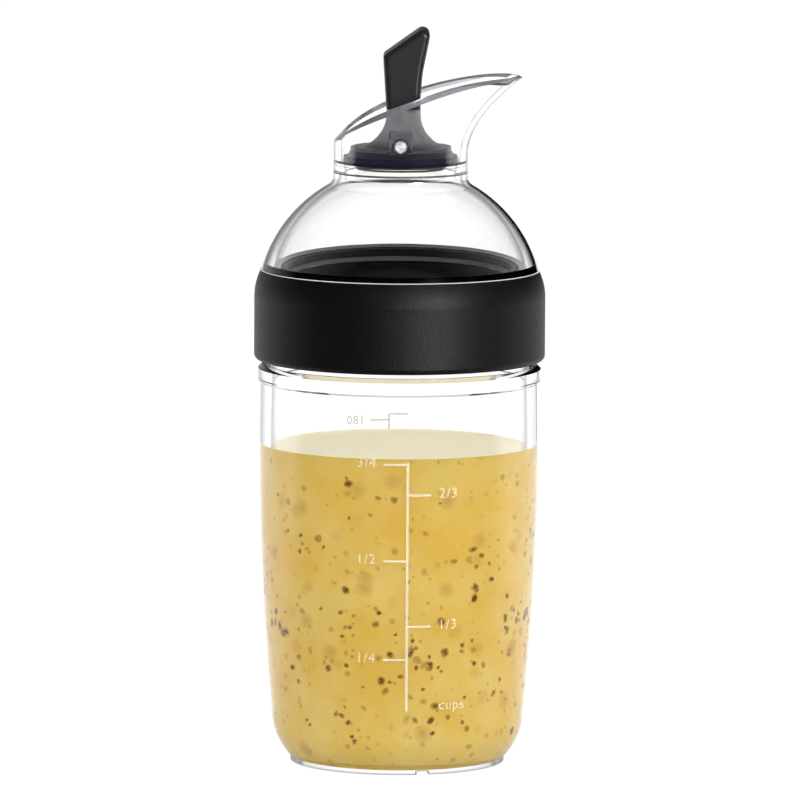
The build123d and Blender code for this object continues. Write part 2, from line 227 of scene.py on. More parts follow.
def wetted_rubber():
    """Black rubber pressed tight to clear plastic: with no air between them it keeps no shine of its own."""
    material, tree, shader, place = finish(
        "rubber_pressed_to_clear", "08080A", Roughness=1.0, Specular_IOR_Level=0.0
    )
    tree.links.new(blended(tree, grain(tree, place, 2.0), "060608", "0C0C10"), shader.inputs["Base Color"])
    return material


def wetted_navy():
    """Navy silicone squeezed against clear plastic: no air between them, so no shine, only the colour."""
    material, tree, shader, place = finish(
        "silicone_pressed_to_clear", "10122C", Roughness=1.0, Specular_IOR_Level=0.0
    )
    tree.links.new(blended(tree, grain(tree, place, 2.0), "0B0D28", "14183C"), shader.inputs["Base Color"])
    return material


def turned_steel(pivot):
    """Stainless steel pin: turned, so its ends carry fine rings round the centre."""
    material, tree, shader, place = finish("turned_stainless_steel", "E4E4E4", Metallic=0.55)
    apart = node(tree, "VectorMath", {0: place, 1: (0, 0, pivot)}, operation="SUBTRACT")
    flat = node(tree, "VectorMath", {0: apart.outputs[0], 1: (1, 0, 1)}, operation="MULTIPLY")
    ring = node(tree, "VectorMath", {0: flat.outputs[0]}, operation="LENGTH").outputs["Value"]
    groove = 0.22
    turns = worked(tree, "MULTIPLY", ring, 2 * pi / groove)
    wave = node(tree, "Math", {0: turns}, operation="SINE").outputs[0]
    tree.links.new(spread(tree, grain(tree, place, 0.4, 3.0), 0.2, 0.38), shader.inputs["Roughness"])
    emboss(tree, shader, spread(tree, wave, 0, 1, -1, 1), 0.012)
    return material


def printed_ink():
    """Screen-printed white ink: matt and thin, so that it looks creamy over the dressing."""
    material, tree, shader, place = finish("screen_printed_white_ink", "F4EFDC", IOR=1.5, Alpha=0.42)
    worn = grain(tree, place, 0.35, 3.0, 0.6)
    tree.links.new(blended(tree, worn, "F8F4E4", "ECE4CC"), shader.inputs["Base Color"])
    tree.links.new(spread(tree, worn, 0.45, 0.65), shader.inputs["Roughness"])
    emboss(tree, shader, worn, 0.01)
    return material


def dressing():
    """Shaken oil and mustard dressing: creamy yellow with light inside it, clouded by herbs and seeds that
    float too deep to be sharp, and glossy where it is wet."""
    material, tree, shader, place = finish(
        "shaken_mustard_dressing", "F4D47A", IOR=1.45, Specular_IOR_Level=0.1,
        Subsurface_Weight=0.2, Subsurface_Scale=0.003, Subsurface_Radius=(1.0, 0.7, 0.3)
    )
    shader.subsurface_method = "RANDOM_WALK"
    cloud = grain(tree, place, 11.0, 3.0)
    body = blended(tree, spread(tree, cloud, 0, 1, 0.35, 0.7), "F4D062", "F8DE84")
    warp = node(tree, "TexNoise", {"Vector": place, "Scale": 0.5, "Detail": 2.0})
    bent = node(tree, "VectorMath", {0: place, 1: warp.outputs["Color"]}, operation="ADD").outputs[0]
    # Three sizes of cloudy spot: the cell and the spot's reach in it, its colour, strength and rarity.
    for cell, reach, colour, strength, rarity in (
        (6.5, 0.40, "C49B48", 0.60, 0.50),
        (3.4, 0.30, "94682A", 0.65, 0.60),
        (1.9, 0.28, "86602A", 0.60, 0.66),
    ):
        spots = node(tree, "TexVoronoi", {"Vector": bent, "Scale": 1 / cell, "Randomness": 1.0})
        near = spread(tree, spots.outputs["Distance"], 1, 0, 0.04, reach)
        chance = node(tree, "SeparateColor", {0: spots.outputs["Color"]}).outputs[0]
        kept = spread(tree, chance, 0, strength, rarity, rarity + 0.25)
        share = node(tree, "Math", {0: near, 1: kept}, operation="MULTIPLY", use_clamp=True).outputs[0]
        body = blended(tree, share, body, colour)
    tree.links.new(body, shader.inputs["Base Color"])
    tree.links.new(spread(tree, grain(tree, place, 3.0), 0.06, 0.16), shader.inputs["Roughness"])
    emboss(tree, shader, grain(tree, place, 7.0, 2.0), 0.05)
    return material


def foamed_top():
    """The top of the shaken dressing: a pale froth of fine bubbles, matt beside the clear wall. The little
    light of its own stands for what reaches it through the dressing."""
    material, tree, shader, place = finish(
        "pale_dressing_froth", "FBF3D4", IOR=1.4, Specular_IOR_Level=0.1, Emission_Strength=0.4
    )
    shader.inputs["Emission Color"].default_value = linear("FBF0CE")
    lather = grain(tree, place, 2.6, 4.0, 0.6)
    foam = blended(tree, spread(tree, lather, 0, 1, 0.35, 0.75), "F8EBC0", "FFFBEA")
    tree.links.new(foam, shader.inputs["Base Color"])
    tree.links.new(spread(tree, lather, 0.45, 0.65), shader.inputs["Roughness"])
    emboss(tree, shader, grain(tree, place, 0.9, 3.0), 0.12)
    return material


def seed_husk():
    """Mustard seed and herb flakes: dark brown and wet, seen through a little of the dressing, which blurs
    them towards their edges. The UV map holds how far out a point is, and a tone of each seed's own."""
    material, tree, shader, place = finish(
        "wet_mustard_seed", "3A2510", IOR=1.46, Roughness=0.5, Specular_IOR_Level=0.15
    )
    marks = node(tree, "SeparateXYZ", {0: node(tree, "TexCoord").outputs["UV"]}).outputs
    torn = spread(tree, grain(tree, place, 0.8, 3.0, 0.6), -0.3, 0.3, 0.3, 0.7)
    out = worked(tree, "ADD", marks["X"], torn)
    core = blended(tree, marks["Y"], "784C10", "A2782C")
    skin = blended(tree, spread(tree, out, 0, 1, 0.3, 0.7), core, "B28A38")
    tree.links.new(skin, shader.inputs["Base Color"])
    near = spread(tree, out, 1, 0, 0.18, 0.92)
    depth = spread(tree, marks["Y"], 0.8, 0.3)
    tree.links.new(worked(tree, "MULTIPLY", near, depth), shader.inputs["Alpha"])
    return material


san = clear_plastic()
pivot_z = (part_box("pivot_pin")[0].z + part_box("pivot_pin")[1].z) / 2 / mm
finishes = {
    "container": san,
    "dome": san,
    "spout": san,
    "collar": textured_black(),
    "thread_ring": matt_black(),
    "lever_grip": glossy_black(),
    "pivot_pin": turned_steel(pivot_z),
    "stopper_body": grey_moulding(),
    "gasket_retainer": grey_moulding(),
    "stopper_gasket": silicone("navy_black_silicone", "0E1026", "171A36", 0.0),
    "spout_seal": silicone("smoke_silicone", "4A4D52", "5A5E64", 0.1),
    "lid_seal": silicone("grey_silicone", "5A5F68", "6A6F78", 0.1),
    "dome_seal": silicone("dark_grey_silicone", "2C2E33", "36393F", 0.0),
}
for name, material in finishes.items():
    for slot in cad[name].material_slots:
        slot.material = material


# Making pieces

def alone(piece):
    """Selects one piece and nothing else."""
    bpy.ops.object.select_all(action="DESELECT")
    piece.select_set(True)
    bpy.context.view_layer.objects.active = piece


def named(name):
    """Names the piece that an operator has just added."""
    piece = bpy.context.object
    piece.name = piece.data.name = name
    return piece


def done(piece, material, body, angle=35):
    """Puts the finished piece's place in its mesh, gives it its material and lets it ride."""
    alone(piece)
    bpy.ops.object.transform_apply(location=True, rotation=True, scale=True)
    bpy.ops.object.shade_smooth_by_angle(angle=radians(angle))
    if not piece.data.materials:
        piece.data.materials.append(material)
    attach(piece, body)
    return piece


def outwards(piece):
    """Merges double points and turns every face outwards."""
    alone(piece)
    bpy.ops.object.mode_set(mode="EDIT")
    bpy.ops.mesh.select_all(action="SELECT")
    bpy.ops.mesh.remove_doubles(threshold=0.002 * mm)
    bpy.ops.mesh.normals_make_consistent(inside=False)
    bpy.ops.object.mode_set(mode="OBJECT")


def drawn_up(name, rings, sides=128):
    """A closed turned piece: a circle drawn up from ring to ring. A ring is (radius, height) in mm."""
    radius, height = rings[0]
    bpy.ops.object.select_all(action="DESELECT")
    bpy.ops.mesh.primitive_circle_add(
        vertices=sides, radius=radius * mm, fill_type="NGON", location=(0, 0, height * mm)
    )
    piece = named(name)
    bpy.ops.object.transform_apply(location=True)
    bpy.ops.object.mode_set(mode="EDIT")
    bpy.ops.mesh.select_all(action="SELECT")
    for (before, low), (after, high) in zip(rings, rings[1:]):
        bpy.ops.mesh.extrude_region_move(TRANSFORM_OT_translate={"value": (0, 0, (high - low) * mm)})
        bpy.ops.transform.resize(value=(after / before, after / before, 1), center_override=(0, 0, high * mm))
    bpy.ops.object.mode_set(mode="OBJECT")
    outwards(piece)
    return piece


def wound(name, rows, sides=128, crowd=0.0):
    """A closed ring: a tube drawn up row by row, each row put at its place and the last joined to the first.
    A row is (radius, height) in mm, or gives them for an angle. Crowding gathers the sides towards +X."""
    bpy.ops.object.select_all(action="DESELECT")
    bpy.ops.mesh.primitive_circle_add(vertices=sides, radius=1, fill_type="NOTHING")
    piece = named(name)
    bpy.ops.object.mode_set(mode="EDIT")
    bpy.ops.mesh.select_all(action="SELECT")
    for _ in rows:
        bpy.ops.mesh.extrude_region_move(TRANSFORM_OT_translate={"value": (0, 0, 1)})
    bpy.ops.object.mode_set(mode="OBJECT")
    rows = list(rows) + [rows[0]]
    for point in piece.data.vertices:
        angle = atan2(point.co.y, point.co.x)
        angle -= crowd * sin(angle)
        row = rows[round(point.co.z)]
        radius, height = row(angle) if callable(row) else row
        point.co = Vector((radius * cos(angle), radius * sin(angle), height)) * mm
    outwards(piece)
    return piece


cup_tree = BVHTree.FromObject(cad["container"], bpy.context.evaluated_depsgraph_get())


def reach_of(tree, height, angle, outside):
    """The radius in mm at which a level ray from outside or from the axis meets a piece, or None.
    A ray can slip through along a seam of the mesh, so two more are cast close beside it."""
    for nudge in (0, 0.0009, -0.0013):
        way = Vector((cos(angle + nudge), sin(angle + nudge), 0))
        start = (way * 60 * mm if outside else Vector()) + Vector((0, 0, height * mm))
        hit = tree.ray_cast(start, -way if outside else way)[0]
        if hit and hit.dot(way) > 5 * mm:
            return hypot(hit.x, hit.y) / mm
    return None


def wall(height, angle=0.0, outside=False):
    """The cup's inner or outer radius in mm at a height in mm and an angle."""
    return reach_of(cup_tree, height, angle, outside)


# The dressing, which fills the cup to its level

# The dressing reaches a little into the cup's wall, in mm, so that no air shows between them. It follows the
# wall at these heights above the cup's floor.
level = 73.6
wetted = 0.08
floor = cup_tree.ray_cast(Vector((0, 0, 50 * mm)), Vector((0, 0, -1)))[0].z / mm
heights = [0.12, 0.4, 0.8, 1.3, 2.0, 2.8, 3.8, 5.0, 6.4, 8.0, 12, 20, 29, 38, 47, 56, 64, 69]
rings = [(wall(floor + 0.12) - 0.2, floor - wetted)]
rings += [(wall(floor + rise) + wetted, floor + rise) for rise in heights]
edge = wall(level)
rings += [(edge + wetted, level), (edge + wetted, level + 0.7), (edge - 0.12, level + 0.68)]
for back, rise in ((0.35, 0.42), (0.8, 0.18), (1.6, 0.05), (3.5, 0), (12, -0.05), (22, 0.04)):
    rings.append((edge - back, level + rise))
contents = drawn_up("dressing", rings)
done(contents, dressing(), "container")
contents.data.materials.append(foamed_top())
for face in contents.data.polygons:
    if face.normal.z > 0.3 and face.center.z > (level - 1) * mm:
        face.material_index = 1

# Seeds: one husk, pinched at one end, is copied with its own size and turn. They lie against the wall, two
# thirds of them in clumps, and fewer near the top. They cast no shadow, because the light that reaches them
# comes through the dressing as well.
draw = random.Random(11)
husk_radius = 0.5 * mm
seed_count, clump_count = 430, 52
bpy.ops.object.select_all(action="DESELECT")
bpy.ops.mesh.primitive_uv_sphere_add(segments=8, ring_count=6, radius=husk_radius, rotation=(pi / 2, 0, 0))
husk = named("dressing_seeds")
bpy.ops.object.transform_apply(rotation=True)
marks = husk.data.uv_layers.active.data
for corner in husk.data.loops:
    point = husk.data.vertices[corner.vertex_index].co
    marks[corner.index].uv = (2 * acos(max(min(-point.y / husk_radius, 1), -1)) / pi, 0)
for point in husk.data.vertices:
    point.co.x *= 1 - 0.35 * max(point.co.z / husk_radius, 0) ** 2
seeds = []
clumps = [(draw.uniform(0, 2 * pi), draw.uniform(6, 66)) for _ in range(clump_count)]
for number in range(seed_count):
    if number % 3:
        around, high = draw.choice(clumps)
        around += draw.gauss(0, 0.1)
        high += draw.gauss(0, 2.6)
    else:
        around, high = draw.uniform(0, 2 * pi), draw.uniform(4, 72)
    if draw.random() < max(high - 40, 0) / 60:
        high -= 30
    high = min(max(high, floor + 1.6), level - 1.6)
    size = 1.2 + 1.7 * draw.random() ** 2
    copy = husk.copy()
    copy.data = husk.data.copy()
    bpy.context.scene.collection.objects.link(copy)
    tone = draw.random() ** 1.5
    for mark in copy.data.uv_layers.active.data:
        mark.uv = (mark.uv[0], tone)
    turn = Matrix.Rotation(draw.uniform(0, 2 * pi), 4, "Y")
    scale = Matrix.Diagonal((size * draw.uniform(0.55, 0.95), 0.5, size, 1))
    reach = (wall(high) + wetted - 0.04) * mm
    place = Matrix.Rotation(around + pi / 2, 4, "Z") @ Matrix.Translation((0, -reach, high * mm))
    copy.data.transform(place @ turn @ scale)
    seeds.append(copy)
alone(husk)
bpy.ops.object.delete()
bpy.ops.object.select_all(action="DESELECT")
for copy in seeds:
    copy.select_set(True)
bpy.context.view_layer.objects.active = seeds[0]
bpy.ops.object.join()
done(named("dressing_seeds"), seed_husk(), "container", angle=60).visible_shadow = False


# The printed scales

def standing(across, up):
    """Stands a mark that lies flat upright, facing the front, with its middle at a place in mm."""
    return Matrix.Translation((across * mm, 0, up * mm)) @ Matrix.Rotation(pi / 2, 4, "X")


def bar(across, up, width, height):
    """A printed bar: its middle and its size in mm, cut fine enough to wrap."""
    bpy.ops.object.select_all(action="DESELECT")
    bpy.ops.mesh.primitive_plane_add(size=mm)
    piece = bpy.context.object
    bpy.ops.object.mode_set(mode="EDIT")
    bpy.ops.mesh.subdivide(number_cuts=7)
    bpy.ops.object.mode_set(mode="OBJECT")
    piece.data.transform(standing(across, up) @ Matrix.Diagonal((width, height, 1, 1)))
    return piece


def upright_line(across, low, high, width):
    """A printed line that runs up from one height to another in mm."""
    return bar(across, (low + high) / 2, width, high - low)


def label(words, across, up, height):
    """A printed word or number with its middle at a place in mm, in capitals of that height. The share is
    that of a capital in the font's size."""
    share = 0.7
    bpy.ops.object.select_all(action="DESELECT")
    bpy.ops.object.text_add()
    piece = bpy.context.object
    piece.data.body = words
    piece.data.size = height * mm / share
    piece.data.align_x, piece.data.align_y = "CENTER", "CENTER"
    piece.data.resolution_u = 3
    piece.data.space_character = 1.12
    bpy.ops.object.convert(target="MESH")
    piece = bpy.context.object
    piece.data.transform(standing(across, up))
    return piece


def printed(name, parts, middle):
    """Joins flat marks, wraps them round the cup's outside at an angle and gives them the ink's thickness."""
    stand, thickness = 0.03, 0.05
    bpy.ops.object.select_all(action="DESELECT")
    for part in parts:
        part.select_set(True)
    bpy.context.view_layer.objects.active = parts[0]
    bpy.ops.object.join()
    piece = named(name)
    for point in piece.data.vertices:
        across, up = point.co.x / mm, point.co.z / mm
        radius = wall(up, middle, outside=True) + stand
        turn = middle + across / radius
        point.co = Vector((radius * cos(turn), radius * sin(turn), up)) * mm
    outwards(piece)
    alone(piece)
    solid = piece.modifiers.new("ink", "SOLIDIFY")
    solid.thickness, solid.offset = thickness * mm, 1
    bpy.ops.object.modifier_apply(modifier="ink")
    return piece


ink = printed_ink()
line_foot = 15.6
front_x, front_line, front_bar, front_words = 2.1, 0.6, 5.2, 2.3
front = [upright_line(front_x, line_foot, 73.6, front_line)]
cup_marks = (("1/4", -1, 27.7), ("1/3", 1, 35.5), ("1/2", -1, 50.8), ("2/3", 1, 66.1), ("3/4", -1, 73.2))
for words, side, height in cup_marks:
    front.append(bar(front_x + side * (front_bar + front_line) / 2, height, front_bar, 0.5))
    front.append(label(words, front_x + side * 9.6, height + 0.3, front_words))
front.append(label("cups", 12.9, 16.9, front_words))
done(printed("cup_scale", front, -pi / 2), ink, "container")

rear_x, rear_line, rear_bar, rear_words = 2.5, 0.4, 4.6, 2.1
rear = [upright_line(rear_x, line_foot, 77.6, rear_line)]
rear_marks = [("60", 1, 28.2), ("120", 1, 51.6), ("180", 1, 76.2)]
rear_marks += [("2 oz", -1, 27.7), ("4 oz", -1, 50.8), ("", -1, 77.6)]
for words, side, height in rear_marks:
    rear.append(bar(rear_x + side * (rear_bar + rear_line) / 2, height, rear_bar, 0.35))
    if words:
        rear.append(label(words, rear_x + side * 8.6, height, rear_words))
rear.append(label("ml", 11.2, 72.8, rear_words))
done(printed("millilitre_scale", rear, pi / 2), ink, "container")


# The spout

spout_tree = BVHTree.FromObject(cad["spout"], bpy.context.evaluated_depsgraph_get())
lowest_rim, highest_rim = 142.6, 163.0


def spout_wall(angle, height, outside):
    """The radius of the spout's wall in mm at an angle and height, or None above its rim."""
    return reach_of(spout_tree, height, angle, outside)


def rim_height(angle, outside):
    """The height of the spout's rim in mm at an angle, on its outer or inner wall, found by halving."""
    low, high = lowest_rim, highest_rim
    for _ in range(18):
        middle = (low + high) / 2
        low, high = (middle, high) if spout_wall(angle, middle, outside) else (low, middle)
    return low


spout_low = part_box("spout")[0].z / mm
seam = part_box("spout_seal")[1].z / mm
inner_low = seam + 2.6
neck_out, neck_mean, neck_in = 15.6, 15, 14.0
land, spigot_in, spigot_out = 13.15, 13.0, 14.3
boss_half, boss_top = 3.4, 12.0
rims = {}


def edge_at(angle):
    """How deep the rim's rounding reaches down the outer wall in mm: least at the tip of the lip."""
    return 1.5 - 1.1 * max(cos(angle), 0) ** 12


def wall_row(share, outside):
    """A row of the spout's wall, at a share of the way from its foot to its rim."""
    def row(angle):
        key = (round(angle, 5), outside)
        if key not in rims:
            rims[key] = rim_height(angle, outside)
        foot = seam + 3.0 if outside else inner_low
        height = foot + (rims[key] - (edge_at(angle) if outside else 0.01) - foot) * share
        neck = neck_out if outside else neck_in
        # Round the pin a ray would meet bosses and holes. They are made below, so the neck is plain here.
        if height < seam + boss_top and abs(cos(angle)) * neck_mean < boss_half:
            return neck, height
        return spout_wall(angle, height, outside) or neck, height
    return row


def rim_row(share):
    """A row of the rounded edge, at a share of the way over the rim from the outer wall to the inner one."""
    def row(angle):
        outer, inner = (rims.get((round(angle, 5), side)) for side in (True, False))
        if inner is None:
            inner = rims[(round(angle, 5), False)] = rim_height(angle, False)
        start = Vector((spout_wall(angle, outer - edge_at(angle), True), outer - edge_at(angle)))
        corner = Vector((spout_wall(angle, outer - 0.01, True), outer))
        end = Vector((spout_wall(angle, inner - 0.01, False), inner - 0.01))
        return tuple(start * (1 - share) ** 2 + corner * 2 * share * (1 - share) + end * share ** 2)
    return row


shares = [0, 0.12, 0.24, 0.36, 0.47, 0.57, 0.66, 0.74, 0.81, 0.87, 0.92, 0.96, 1]
rows = [(neck_out, seam), (neck_out, seam + 0.3)] + [wall_row(share, True) for share in shares]
rows += [rim_row(share) for share in (0.14, 0.28, 0.42, 0.56, 0.7, 0.85)]
rows += [wall_row(share, False) for share in reversed(shares)]
rows += [(land, inner_low - 0.3), (land, seam + 1.4), (spigot_in, seam + 1.25)]
rows += [(spigot_in, spout_low), (spigot_out, spout_low), (spigot_out, seam)]
shell = wound("pouring_spout", rows, sides=224, crowd=0.4)
shell.data.materials.append(san)
shell.data.materials.append(clear_rim())
# The rim's rounded faces take the painted grey of the caught light.
for face in shell.data.polygons:
    angle = atan2(face.center.y, face.center.x)
    height = face.center.z / mm
    over = height > rim_height(angle, True) - edge_at(angle) + 0.02
    upward = face.normal.dot(Vector((cos(angle), sin(angle), 0.6))) > 0.1
    if over and upward and height > seam + 4:
        face.material_index = 1


def cut(piece, tool, operation):
    """Joins a tool to a piece or cuts it out, and deletes the tool."""
    alone(piece)
    change = piece.modifiers.new("cut", "BOOLEAN")
    change.operation, change.object, change.solver = operation, tool, "EXACT"
    bpy.ops.object.modifier_apply(modifier="cut")
    bpy.data.objects.remove(tool)


# The pin's two bosses, on the inner wall.
boss_place, boss_lift = 13.95, 0.85
boss_size = (5.1 * mm, 1.5 * mm, 5.5 * mm)
boss_rounding = 0.55
for side in (-1, 1):
    place = (0, side * boss_place * mm, (pivot_z + boss_lift) * mm)
    bpy.ops.object.select_all(action="DESELECT")
    bpy.ops.mesh.primitive_cube_add(size=1, location=place)
    boss = bpy.context.object
    boss.scale = boss_size
    bpy.ops.object.transform_apply(location=True, scale=True)
    bpy.ops.object.mode_set(mode="EDIT")
    bpy.ops.mesh.select_all(action="SELECT")
    bpy.ops.mesh.bevel(offset=boss_rounding * mm, segments=4)
    bpy.ops.object.mode_set(mode="OBJECT")
    cut(shell, boss, "UNION")

# The pin's hole right through, and a sink round each end of it.
pin_hole, sink, sink_floor, past = 1.52, 2.1, 15.1, 20
drills = ((pin_hole, -past, past), (sink, sink_floor, past), (sink, -past, -sink_floor))
for radius, low, high in drills:
    bpy.ops.object.select_all(action="DESELECT")
    bpy.ops.mesh.primitive_cylinder_add(
        vertices=48, radius=radius * mm, depth=(high - low) * mm,
        location=(0, (low + high) / 2 * mm, pivot_z * mm), rotation=(pi / 2, 0, 0)
    )
    cut(shell, bpy.context.object, "DIFFERENCE")
done(shell, san, "lid", angle=40)
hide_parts("spout")

# The dome: a round wall that thickens evenly to its foot, a rounding into the neck, and the skirt that snaps
# in the collar. Angles are in degrees up from the level of the dome's middle.
dome_middle, dome_radius = 105.33, 33.7
dome_seat, edge_radius = 115.1, 32
foot_angle, neck_angle = 16.6, 60
round_in, round_up = 18.1, 136.68
round_out, round_inner = 2.5, 3.7
neck_top = 137.5
thin, thicker = 1.2, 1.3


def on_dome(radius, angle):
    """A point of the dome's round wall as (radius, height) in mm."""
    return radius * cos(radians(angle)), dome_middle + radius * sin(radians(angle))


def on_rounding(radius, angle):
    """A point of the rounding between the dome and its neck as (radius, height) in mm."""
    return round_in + radius * cos(radians(angle)), round_up + radius * sin(radians(angle))


profile = [on_dome(dome_radius, foot_angle + (neck_angle - foot_angle) * step / 40) for step in range(41)]
profile += [on_rounding(round_out, 240 - 6 * step) for step in range(1, 11)]
profile += [(neck_out, neck_top), (round_in - round_inner, neck_top)]
profile += [on_rounding(round_inner, 180 + 6 * step) for step in range(10)]
for step in range(46):
    wall_here = thin + thicker * (step / 45) ** 1.2
    profile.append(on_dome(dome_radius - wall_here, neck_angle - 0.9 * step))
profile += [(27.6, dome_seat), (30.3, dome_seat), (30.3, 110.2), (31.95, 110.2), (31.95, 111.5)]
profile += [(31.4, 111.5), (31.4, 114.6), (31.8, 114.6), (32.5, 114.85)]
bowl = wound("clear_dome", profile, sides=192)
bowl.data.materials.append(san)
bowl.data.materials.append(painted_highlight_edge())
# The outer faces of the dome's foot take the painted highlight.
for face in bowl.data.polygons:
    if hypot(face.center.x, face.center.y) > edge_radius * mm and face.center.z < dome_seat * mm:
        face.material_index = 1
done(bowl, san, "lid", angle=40)
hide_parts("dome")

# The thread ring, with its ledge, web and snap bead. Its upstand is drawn low, as it looks through the dome.
skirt_in, ring_out, ledge_top, ledge_low = 30.2, 31.4, 114.6, 113.2
shape = [(skirt_in, 99.0), (ring_out, 99.0), (ring_out, 100.6), (31.7, 100.9), (31.7, 101.9)]
shape += [(ring_out, 102.2), (ring_out, 110.1), (skirt_in, 110.1), (skirt_in, ledge_top)]
shape += [(27.3, ledge_top), (27.25, 114.85), (27.1, 115.0), (26.2, 115.0), (26.05, 114.85)]
shape += [(26.0, ledge_low), (29.5, ledge_low), (29.5, 107.0), (skirt_in, 106.3)]
ring = wound("black_thread_ring", shape, sides=192)
done(ring, finishes["thread_ring"], "lid")
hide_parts("thread_ring")

# A dark ring of painted shadow in each sink, round the end of the pin, where the hole lies in shade.
sunk_radius, sunk_thick, sunk_place = 1.8, 0.24, 15.34
for side in (-1, 1):
    bpy.ops.object.select_all(action="DESELECT")
    bpy.ops.mesh.primitive_torus_add(
        major_radius=sunk_radius * mm, minor_radius=sunk_thick * mm, major_segments=48, minor_segments=12,
        location=(0, side * sunk_place * mm, pivot_z * mm), rotation=(pi / 2, 0, 0)
    )
    sink_shadow = named("pin_sink_shadow_front" if side < 0 else "pin_sink_shadow_rear")
    done(sink_shadow, finishes["stopper_gasket"], "lid")

# The gasket's lip is squeezed against the spout's land, and shows through the wall as a dark band across.
lip = [(13.1, 139.7), (13.24, 139.95), (13.24, 141.3), (13.1, 141.6), (13.02, 141.2), (13.02, 140.1)]
squeezed = wound("gasket_contact", lip, sides=160)
done(squeezed, wetted_navy(), "lever")

# The dome is pressed down on its seal, so the seal's black shows through the foot of the dome.
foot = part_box("dome_seal")[1].z / mm
pad = [(27.45, foot - 0.5), (skirt_in, foot - 0.5), (31.9, foot - 0.45)]
pad += [(31.9, foot - 0.38), (skirt_in, foot + 0.06), (27.5, foot + 0.06)]
pressed = wound("dome_seal_pressed", pad)
done(pressed, wetted_rubber(), "lid")
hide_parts("dome_seal")


# The screw threads

def bearing(point):
    """The angle at which a point stands round the Z axis."""
    return atan2(point.co.y, point.co.x)


def ridge(name, root, crest, bottom, turn, turns):
    """One thread ridge: a small trapezium carried up a helix, and faded into the wall at both ends. It stands
    on the radius root and reaches to crest, and starts at the height bottom, turned by an angle."""
    lead, foot, top, steps = 8.0, 2.0, 0.9, 84
    fading = radians(28)
    bpy.ops.object.select_all(action="DESELECT")
    bpy.ops.mesh.primitive_plane_add(size=1)
    piece = named(name)
    corners = [(root, -foot / 2), (root, foot / 2), (crest, top / 2), (crest, -top / 2)]
    for point, (radius, up) in zip(sorted(piece.data.vertices, key=bearing), corners):
        point.co = Vector((radius, 0, bottom + up)) * mm
    bpy.ops.object.mode_set(mode="EDIT")
    bpy.ops.mesh.select_all(action="SELECT")
    bpy.ops.mesh.delete(type="ONLY_FACE")
    bpy.ops.object.mode_set(mode="OBJECT")
    screw = piece.modifiers.new("helix", "SCREW")
    screw.angle, screw.screw_offset = 2 * pi * turns, lead * turns * mm
    screw.steps = screw.render_steps = steps
    screw.use_normal_calculate = True
    bpy.ops.object.modifier_apply(modifier="helix")
    for point in piece.data.vertices:
        angle = (point.co.z / mm - bottom) / lead * 2 * pi
        along = min(max((point.co.z / mm - bottom) / (lead * turns), 0), 1)
        fade = min(along, 1 - along) * turns * 2 * pi / fading
        if fade < 1 and abs(hypot(point.co.x, point.co.y) / mm - crest) < 0.01:
            radius = root + (crest - root) * max(sin(max(fade, 0) * pi / 2), 0.02)
            point.co.x *= radius / crest
            point.co.y *= radius / crest
    bpy.ops.object.mode_set(mode="EDIT")
    bpy.ops.mesh.select_all(action="DESELECT")
    bpy.ops.mesh.select_non_manifold()
    bpy.ops.mesh.fill()
    bpy.ops.object.mode_set(mode="OBJECT")
    piece.data.transform(Matrix.Rotation(turn, 4, "Z"))
    outwards(piece)
    return piece


neck_start, neck_root, neck_crest = 99.4, 28.8, 29.9
ring_start, ring_root, ring_crest = neck_start + 2.0, 30.3, 29.2
for start in (0, 1):
    male = ridge(f"neck_thread_{start + 1}", neck_root, neck_crest, neck_start, pi * start, turns=1.0)
    done(male, san, "container")
    female = ridge(f"ring_thread_{start + 1}", ring_root, ring_crest, ring_start, pi * start, turns=0.55)
    done(female, finishes["thread_ring"], "lid")


# Stage, light and camera

def white_floor():
    """Pale matt paint, for the most part plain white where it is seen straight, in a gloss or through clear
    plastic. A gloss sees it dark in front of the cup. Other rays see a painted shadow in a ring round the
    cup's foot; only the camera sees it evenly white there."""
    material, tree, shader, place = finish(
        "matt_white_floor", "FAFAFA", Roughness=0.9, Specular_IOR_Level=0.1
    )
    tree.links.new(blended(tree, grain(tree, place, 40.0), "FAFAFA", "F4F4F4"), shader.inputs["Base Color"])
    way = node(tree, "LightPath").outputs
    clear = worked(tree, "MAXIMUM", way["Is Camera Ray"], way["Is Transmission Ray"])
    seen = worked(tree, "MAXIMUM", clear, way["Is Glossy Ray"])
    unmirrored = worked(tree, "LESS_THAN", way["Glossy Depth"], 0.5)
    scattered = worked(tree, "GREATER_THAN", way["Diffuse Depth"], 0.5)
    plain = worked(tree, "MULTIPLY", clear, worked(tree, "MAXIMUM", unmirrored, scattered))
    behind = spread(tree, node(tree, "SeparateXYZ", {0: place}).outputs["Y"], 0.03, 1.0, -70, 70)
    # Painted shadow: for every ray but the camera's, the floor's light falls to 0.75 in a ring 22.5 to 25 mm
    # from the middle, under the cup's foot, against 1.1 inside it and 1.2 outside.
    apart = node(tree, "VectorMath", {0: place}, operation="LENGTH").outputs["Value"]
    foot = spread(tree, apart, 0.75, 1.2, 25.0, 29.0)
    foot = blended(tree, spread(tree, apart, 0, 1, 20.5, 22.5), (1.1, 1.1, 1.1, 1), foot)
    foot = blended(tree, way["Is Camera Ray"], foot, (1, 1, 1, 1))
    bright = worked(tree, "MULTIPLY", worked(tree, "MAXIMUM", plain, behind), foot)
    white = node(tree, "Emission", {"Color": (1.05, 1.05, 1.05, 1), "Strength": bright})
    part = worked(tree, "MULTIPLY", seen, 0.92)
    mixed = node(tree, "MixShader", {0: part, 1: shader.outputs[0], 2: white.outputs[0]})
    tree.links.new(mixed.outputs[0], tree.nodes["Material Output"].inputs[0])
    return material


bpy.ops.object.select_all(action="DESELECT")
bpy.ops.mesh.primitive_plane_add(size=60, location=(0, 0, 0))
ground = named("floor")
ground.data.materials.append(white_floor())

